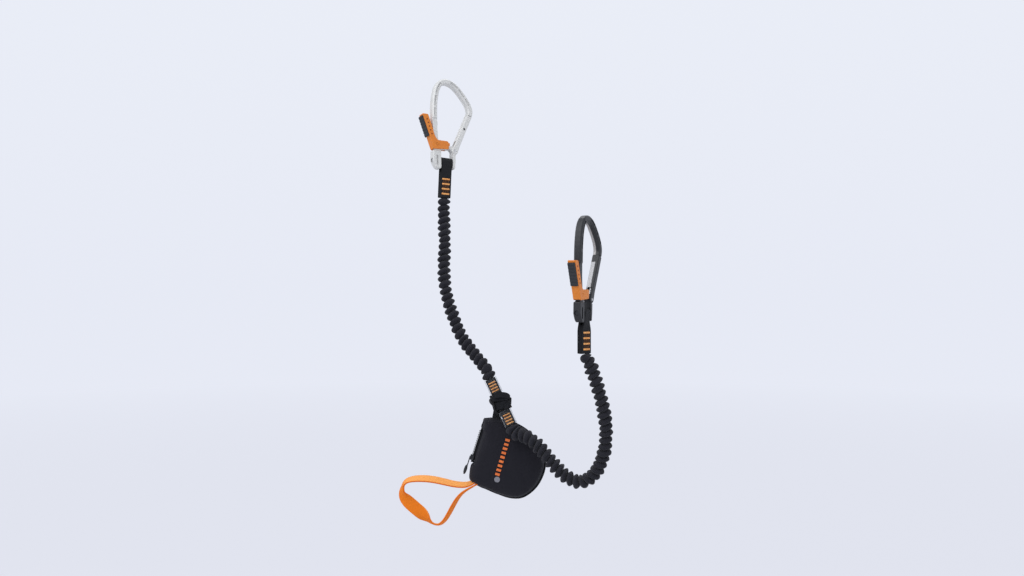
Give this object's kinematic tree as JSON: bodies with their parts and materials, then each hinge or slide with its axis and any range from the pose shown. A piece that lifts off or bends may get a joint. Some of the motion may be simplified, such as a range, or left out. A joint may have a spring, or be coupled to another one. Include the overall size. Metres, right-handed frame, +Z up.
{
  "type": "via ferrata lanyard",
  "caption": "Via ferrata lanyard: palm-lever carabiners on ribbed elastic webbing arms, joined at a zipped energy-absorber pouch with an orange loop for the harness.",
  "frame": {"origin": "inside of the far bend of the harness loop, where the harness holds the lanyard", "axes": "+Z up from the harness loop to the carabiners, -Y the front that the picture shows, +X from the harness loop's far bend toward the pouch"},
  "size_m": [0.2509, 0.211, 0.5521],
  "materials": {
    "silver": "bead blasted",
    "graphite": "dark anodised, satin",
    "steel": "plain",
    "lever_orange": "moulded, satin",
    "grip_rubber": "matt, ridged",
    "black_webbing": "woven",
    "orange_webbing": "woven",
    "orange_thread": "bar tacked thread",
    "elastic": "covered elastic",
    "clear_sleeve": "clear shrink tube, glossy",
    "pouch_fabric": "plain weave",
    "zip_plastic": "moulded"
  },
  "bodies": {
    "lanyard": {"absorber_band": "elastic", "absorber_strap": "black_webbing", "black_arm": "black_webbing", "black_clear_sleeve": "clear_sleeve", "black_elastic_core": "elastic", "black_lower_tacks_back": "orange_thread", "black_lower_tacks_front": "orange_thread", "harness_loop": "orange_webbing", "pouch_back": "pouch_fabric", "pouch_binding": "grip_rubber", "pouch_front": "pouch_fabric", "silver_arm": "black_webbing", "silver_clear_sleeve": "clear_sleeve", "silver_elastic_core": "elastic", "silver_lower_tacks_back": "orange_thread", "silver_lower_tacks_front": "orange_thread", "tear_webbing": "black_webbing", "yoke_webbing": "black_webbing", "zip_tape": "zip_plastic", "zip_teeth": "zip_plastic"},
    "silver_end": {"silver_eye_webbing": "black_webbing", "silver_bar_tacks_front": "orange_thread", "silver_bar_tacks_back": "orange_thread"},
    "silver_carabiner": {"silver_frame": "silver", "silver_eye_pin": "steel", "silver_gate_pin": "steel", "silver_lever_pin": "steel", "silver_lever_spring": "steel"},
    "silver_gate_body": {"silver_gate": "silver", "silver_gate_rivet": "steel", "silver_gate_plunger": "steel", "silver_gate_spring": "steel"},
    "silver_lever": {"silver_palm_lever": "lever_orange", "silver_grip_pad": "grip_rubber"},
    "black_end": {"black_eye_webbing": "black_webbing", "black_bar_tacks_front": "orange_thread", "black_bar_tacks_back": "orange_thread"},
    "black_carabiner": {"black_frame": "graphite", "black_eye_pin": "steel", "black_gate_pin": "steel", "black_lever_pin": "steel", "black_lever_spring": "steel"},
    "black_gate_body": {"black_gate": "steel", "black_gate_rivet": "steel", "black_gate_plunger": "steel", "black_gate_spring": "steel"},
    "black_lever": {"black_palm_lever": "lever_orange", "black_grip_pad": "grip_rubber"},
    "slider": {"zip_slider": "steel"}
  },
  "joints": [
    {"name": "silver_arm_stretch", "type": "slide", "parent": "lanyard", "child": "silver_end", "axis": [0, 0, 1], "range_m": [0, 0.15], "stiffness_N_per_m": 60, "deforming": ["silver_arm", "silver_elastic_core"]},
    {"name": "silver_eye_hinge", "type": "hinge", "parent": "silver_end", "child": "silver_carabiner", "pos_m": [0.048, 0.0648, 0.4031], "axis": [0.8416, 0.5379, -0.0485], "range_deg": [-70, 110]},
    {"name": "silver_gate_hinge", "type": "hinge", "parent": "silver_carabiner", "child": "silver_gate_body", "pos_m": [0.05743, 0.07351, 0.41693], "axis": [-0.5384, 0.8283, -0.1548], "range_deg": [-22, 0], "stiffness_Nm_per_rad": 0.15, "springref_deg": 20.05},
    {"name": "silver_lever_hinge", "type": "hinge", "parent": "silver_carabiner", "child": "silver_lever", "pos_m": [0.03563, 0.06066, 0.42399], "axis": [-0.5384, 0.8283, -0.1548], "range_deg": [0, 8.8]},
    {"name": "black_arm_stretch", "type": "slide", "parent": "lanyard", "child": "black_end", "axis": [0, 0, 1], "range_m": [0, 0.15], "stiffness_N_per_m": 60, "deforming": ["black_arm", "black_elastic_core"]},
    {"name": "black_eye_hinge", "type": "hinge", "parent": "black_end", "child": "black_carabiner", "pos_m": [0.2125, -0.078, 0.2164], "axis": [0.4848, 0.8746, 0], "range_deg": [-90, 90]},
    {"name": "black_gate_hinge", "type": "hinge", "parent": "black_carabiner", "child": "black_gate_body", "pos_m": [0.21829, -0.06755, 0.231], "axis": [-0.8746, 0.4848, 0], "range_deg": [-22, 0], "stiffness_Nm_per_rad": 0.15, "springref_deg": 20.05},
    {"name": "black_lever_hinge", "type": "hinge", "parent": "black_carabiner", "child": "black_lever", "pos_m": [0.20588, -0.08994, 0.2369], "axis": [-0.8746, 0.4848, 0], "range_deg": [0, 8.8]},
    {"name": "zip_slide", "type": "slide", "parent": "lanyard", "child": "slider", "axis": [0.2997, 0, 0.954], "range_m": [0, 0.033]}
  ],
  "couplings": [
    {"joint": "silver_lever_hinge", "follows": "silver_gate_hinge", "ratio": -0.4},
    {"joint": "black_lever_hinge", "follows": "black_gate_hinge", "ratio": -0.4}
  ]
}
